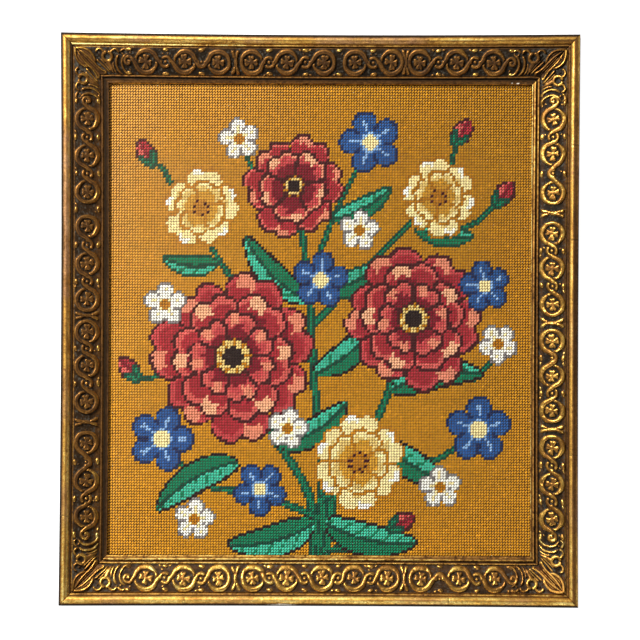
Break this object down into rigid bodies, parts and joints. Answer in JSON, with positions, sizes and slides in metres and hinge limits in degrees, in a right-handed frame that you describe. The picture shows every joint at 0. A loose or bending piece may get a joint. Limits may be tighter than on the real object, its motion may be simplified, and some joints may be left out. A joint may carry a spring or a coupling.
{
  "type": "framed needlepoint picture",
  "caption": "Needlepoint picture in tent stitch, held in the rabbet of a mitred, ornamented gilt frame, lying on its back.",
  "frame": {"origin": "middle of the frame's underside, which lies on the surface", "axes": "+Z out of the picture's face, +Y towards the picture's top edge, +X to its right"},
  "size_m": [0.401, 0.4424, 0.025],
  "materials": {
    "gilt_frame": "antiqued gilding over wood and composition, umber in the hollows, worn on the beads",
    "stitched_wool": "wool tent stitch on canvas, matt"
  },
  "bodies": {
    "root": {"rail_top": "gilt_frame", "rail_bottom": "gilt_frame", "rail_left": "gilt_frame", "rail_right": "gilt_frame", "needlepoint": "stitched_wool"}
  },
  "joints": []
}
